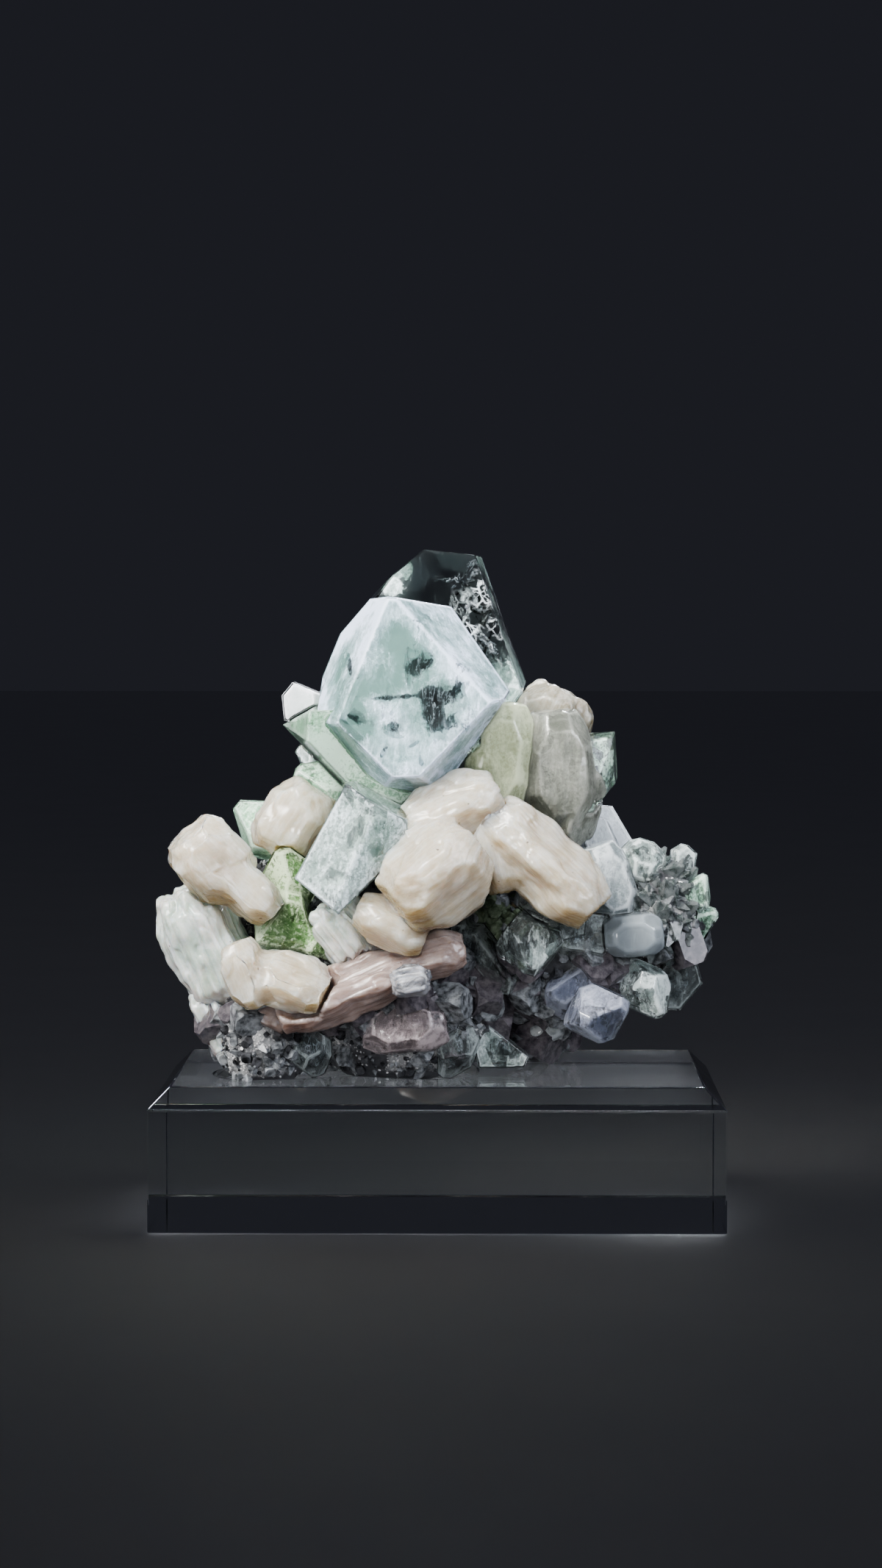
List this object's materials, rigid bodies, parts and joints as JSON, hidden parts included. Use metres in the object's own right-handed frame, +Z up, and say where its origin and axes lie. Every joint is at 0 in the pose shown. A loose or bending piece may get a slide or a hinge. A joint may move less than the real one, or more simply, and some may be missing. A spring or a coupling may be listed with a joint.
{
  "type": "apophyllite cluster",
  "caption": "Green apophyllite crystals with cream stilbite sheaves on dark basalt, seated in a pocket in a clear bevelled block that stands on a flat base.",
  "frame": {"origin": "centre of the acrylic block's underside, where it rests", "axes": "+Z up, X along the block's long side, -Y towards the front of the specimen"},
  "size_m": [0.1202, 0.0757, 0.1417],
  "materials": {
    "milky_apophyllite": "glassy, milky inside, pearly on the ends",
    "clear_apophyllite": "glassy and clear with white veils",
    "mint_apophyllite": "glassy, pale green",
    "green_apophyllite": "glassy, deep green",
    "grey_apophyllite": "glassy, blue-grey",
    "smoky_crystal": "glassy, dark grey",
    "olive_chalcedony": "waxy, translucent",
    "cream_stilbite": "pearly to silky, cream",
    "peach_stilbite": "silky, peach",
    "pearly_stilbite": "pearly, faintly green",
    "basalt": "rough, crusted with tiny white crystals",
    "clear_acrylic": "polished, see-through"
  },
  "bodies": {
    "root": {"acrylic_block": "clear_acrylic", "apophyllite_back_far_right": "grey_apophyllite", "apophyllite_back_foot": "grey_apophyllite", "apophyllite_back_foot_left": "smoky_crystal", "apophyllite_back_left": "green_apophyllite", "apophyllite_back_low": "clear_apophyllite", "apophyllite_back_middle": "milky_apophyllite", "apophyllite_back_right": "milky_apophyllite", "apophyllite_back_tall": "mint_apophyllite", "apophyllite_back_upper_right": "mint_apophyllite", "apophyllite_blue_low": "grey_apophyllite", "apophyllite_centre": "milky_apophyllite", "apophyllite_clear_low": "clear_apophyllite", "apophyllite_drop": "clear_apophyllite", "apophyllite_far_right": "mint_apophyllite", "apophyllite_green": "green_apophyllite", "apophyllite_grey_block": "grey_apophyllite", "apophyllite_lavender": "grey_apophyllite", "apophyllite_left_back": "mint_apophyllite", "apophyllite_left_chip": "milky_apophyllite", "apophyllite_left_spur": "milky_apophyllite", "apophyllite_main": "milky_apophyllite", "apophyllite_rear": "clear_apophyllite", "apophyllite_right_green": "mint_apophyllite", "apophyllite_skirt": "mint_apophyllite", "apophyllite_under_left": "mint_apophyllite", "basalt_matrix": "basalt", "blade_dark_right": "smoky_crystal", "blade_far_right": "grey_apophyllite", "blade_grey_behind": "smoky_crystal", "blade_grey_green": "smoky_crystal", "blade_triangular": "grey_apophyllite", "blades_dark_pair": "smoky_crystal", "blades_pale_right": "pearly_stilbite", "chalcedony_pink": "pearly_stilbite", "column_grey": "olive_chalcedony", "column_olive": "olive_chalcedony", "crystal_glassy_foot": "smoky_crystal", "crystal_grey_foot": "smoky_crystal", "crystal_pale_wedge": "pearly_stilbite", "crystal_rounded_block": "grey_apophyllite", "pebble_grey": "pearly_stilbite", "stilbite_back_foot": "cream_stilbite", "stilbite_back_left": "cream_stilbite", "stilbite_back_low": "peach_stilbite", "stilbite_back_right": "cream_stilbite", "stilbite_back_side": "cream_stilbite", "stilbite_centre": "cream_stilbite", "stilbite_left": "cream_stilbite", "stilbite_left_edge": "pearly_stilbite", "stilbite_left_low": "pearly_stilbite", "stilbite_long": "peach_stilbite", "stilbite_lower_left": "cream_stilbite", "stilbite_peach_small": "peach_stilbite", "stilbite_right": "cream_stilbite", "stilbite_silver_fan": "pearly_stilbite", "stilbite_silver_small": "pearly_stilbite", "stilbite_top_right": "cream_stilbite", "stilbite_upper_left": "cream_stilbite"}
  },
  "joints": []
}
